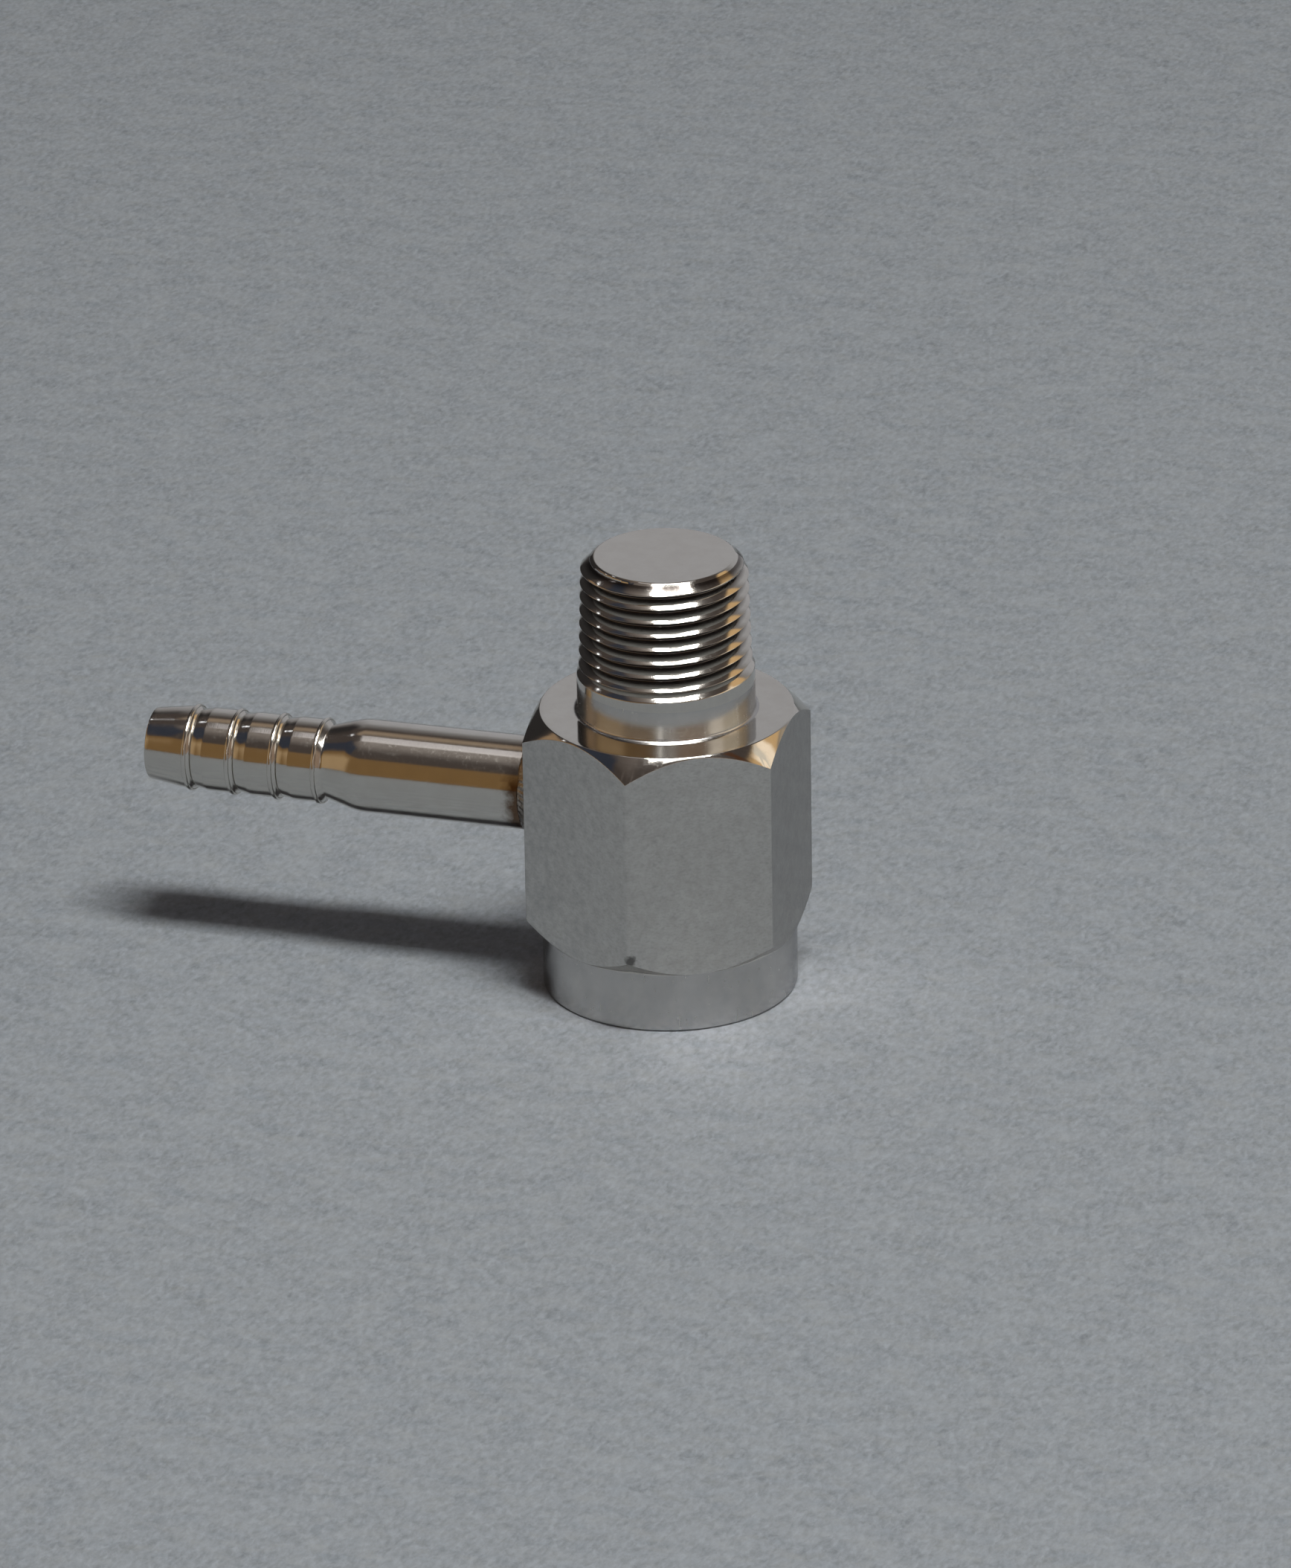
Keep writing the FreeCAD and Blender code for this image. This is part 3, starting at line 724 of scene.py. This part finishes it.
def flat_box(name, low, high, radiance, colour=(1, 1, 1), turn=0.0, about=(0, 0)):
    """A soft box lying flat overhead, between two corners (x, y). The corners may be given in
    axes turned by so many degrees, their origin at about."""
    lamp = area_lamp(name, (high[0] - low[0], high[1] - low[1]), radiance, colour)
    middle = Vector(((low[0] + high[0]) / 2, (low[1] + high[1]) / 2, CEILING))
    lamp.location = Matrix.Rotation(math.radians(turn), 3, "Z") @ middle + Vector((*about, 0))
    lamp.rotation_euler = (0, 0, math.radians(turn))
    return lamp


# the main lamp lights the paper and isn't reflected; the others are reflected and light nothing
main_lamp = flat_box("main_lamp", (0.08, -0.56), (1.02, -0.21), 24.6, PAPER_LIGHT)
main_lamp.visible_glossy = False
for lamp in (
    flat_box("key_panel_front", (-0.38, -0.28), (1.00, -0.09), KEY, WARM, **PANELS),
    flat_box("key_panel_back", (-0.38, 0.09), (0.80, 0.37), KEY, WARM, **PANELS),
    flat_box("key_gap", (-0.38, -0.09), (0.80, 0.09), 0.55, (1.0, 0.93, 0.88), **PANELS),
    flat_box("front_strip", (-0.12, -0.56), (0.95, -0.28), 3.0, WARM, **PANELS),
    flat_box("ceiling_box", (-0.36, 0.05), (0.60, 0.74), 1.9, (1.0, 0.98, 1.0)),
    flat_box("ceiling_edge", (-0.72, -0.20), (-0.38, 0.42), 0.62, (1.0, 0.97, 1.0)),
    soft_box("window_left_a", way(155, 51, 1.2), (0.045, 0.05), 5.0, (0.88, 0.92, 1.0)),
    soft_box("window_left_b", way(167, 38, 1.2), (0.05, 0.035), 5.0, (0.9, 0.94, 1.0)),
    soft_box("window_left_c", way(175, 33, 1.2), (0.035, 0.035), 4.0, (0.95, 0.96, 1.0)),
    soft_box("front_lamp", way(-82, 24, 1.2), (0.05, 0.34), 3.6),
):
    lamp.visible_diffuse = False


def make_world():
    """The room that the steel reflects: a pale sweep behind, wood in front, navy cloth at the left.
    Diffuse rays and the camera see plain grey instead."""
    world = bpy.data.worlds.new("studio_room")
    bpy.context.scene.world = world
    world.use_nodes = True
    tree = world.node_tree
    n = Nodes(tree)
    ray = n.add("ShaderNodeTexCoord").outputs["Generated"]
    parts = n.add("ShaderNodeSeparateXYZ", {0: ray}).outputs
    turn = n.sum(n.add("ShaderNodeMath", {0: parts["Y"], 1: parts["X"]}, operation="ARCTAN2").outputs[0],
                 180 / math.pi, "MULTIPLY")
    rise = n.sum(n.add("ShaderNodeMath", {0: parts["Z"]}, operation="ARCSINE").outputs[0],
                 180 / math.pi, "MULTIPLY")
    colour = (0.070, 0.056, 0.050, 1)

    def card(colour, left, right, low, high, tint, soft=1.5):
        """A patch of colour between two azimuths, left to right in degrees, and two elevations."""
        middle, half = (left + right) / 2, (right - left) / 2
        away = n.add("ShaderNodeMath", {0: n.sum(turn, middle, "SUBTRACT"), 1: -180.0, 2: 180.0},
                     operation="WRAP").outputs[0]
        away = n.add("ShaderNodeMath", {0: away}, operation="ABSOLUTE").outputs[0]
        inside = n.levels(away, half + soft, half - soft)
        above = n.levels(rise, low - soft, low + soft)
        below = n.levels(rise, high + soft, high - soft)
        part = n.sum(n.sum(inside, above, "MULTIPLY"), below, "MULTIPLY")
        return n.mix(part, colour, (*tint, 1))

    # pale sweep behind, darkening upwards
    colour = card(colour, 50, 124, -20, 46, (0.21, 0.20, 0.20), 6)
    colour = card(colour, 60, 114, -20, 34, (0.42, 0.42, 0.44), 6)
    colour = card(colour, 122, 157, -20, 40, (0.030, 0.028, 0.028), 4)
    # shelves in front and at the left
    colour = card(colour, -178, -88, -20, 37, (0.21, 0.125, 0.052))
    colour = card(colour, -175, -131, -20, 30, (0.42, 0.29, 0.16), 4)
    colour = card(colour, 160, 180, 15, 29, (0.34, 0.23, 0.14), 2)
    colour = card(colour, -74, -60, 4, 36, (0.48, 0.44, 0.42), 3)
    colour = card(colour, -60, -20, -6, 40, (0.31, 0.22, 0.16), 4)
    colour = card(colour, -18, 8, 10, 34, (1.00, 0.90, 0.78), 3)
    # cream wall and golden boards at the right
    colour = card(colour, 5, 54, 26, 44, (0.72, 0.48, 0.24))
    colour = card(colour, 5, 36, 6, 26, (0.68, 0.61, 0.49), 3)
    colour = card(colour, 36, 56, 6, 26, (0.44, 0.36, 0.27), 3)
    colour = card(colour, 14, 36, 27, 43, (1.25, 1.05, 0.82))
    colour = card(colour, 21, 28, 30, 44, (0.85, 0.78, 0.66), 0.6)
    colour = card(colour, -4, 5, 44, 56, (0.09, 0.04, 0.02))
    # navy cloth at the left, warm ceiling behind
    colour = card(colour, -170, -112, 61, 90, (0.19, 0.16, 0.145), 7)
    colour = card(colour, -180, -136, 38, 58, (0.036, 0.042, 0.060), 2)
    colour = card(colour, 112, 150, 57, 67, (0.33, 0.25, 0.18), 3)
    path = n.add("ShaderNodeLightPath").outputs
    colour = n.mix(path["Is Diffuse Ray"], colour, (0.030, 0.030, 0.032, 1))
    colour = n.mix(path["Is Camera Ray"], colour, (0.26, 0.27, 0.285, 1))
    back = tree.nodes["Background"]
    tree.links.new(colour, back.inputs["Color"])
    back.inputs["Strength"].default_value = 1.0


make_world()


# ---------------------------------------------------------------- camera

def make_camera():
    """Where the photograph was taken from: 1.29 m away, 24 degrees above the table."""
    azimuth, elevation, roll = math.radians(16.645), math.radians(24.356), math.radians(-0.975)
    across = Vector((math.cos(azimuth), math.sin(azimuth), 0))
    back = Vector((math.sin(azimuth) * math.cos(elevation), -math.cos(azimuth) * math.cos(elevation),
                   math.sin(elevation)))
    up = back.cross(across)
    right = math.cos(roll) * across + math.sin(roll) * up
    upright = -math.sin(roll) * across + math.cos(roll) * up
    target = across * -2.759 * MM + Vector((0, 0, 26.655 * MM))
    camera = bpy.data.objects.new("photo_camera", bpy.data.cameras.new("photo_camera"))
    camera.data.sensor_width = 36
    camera.data.lens = 237.15
    camera.data.clip_start, camera.data.clip_end = 0.05, 20
    place = Matrix((right, upright, back)).transposed().to_4x4()
    place.translation = target + back * 1.2879
    camera.matrix_world = place
    bpy.context.scene.collection.objects.link(camera)
    bpy.context.scene.camera = camera


make_camera()
bpy.context.scene.view_settings.view_transform = "Standard"
bpy.context.scene.view_settings.look = "None"
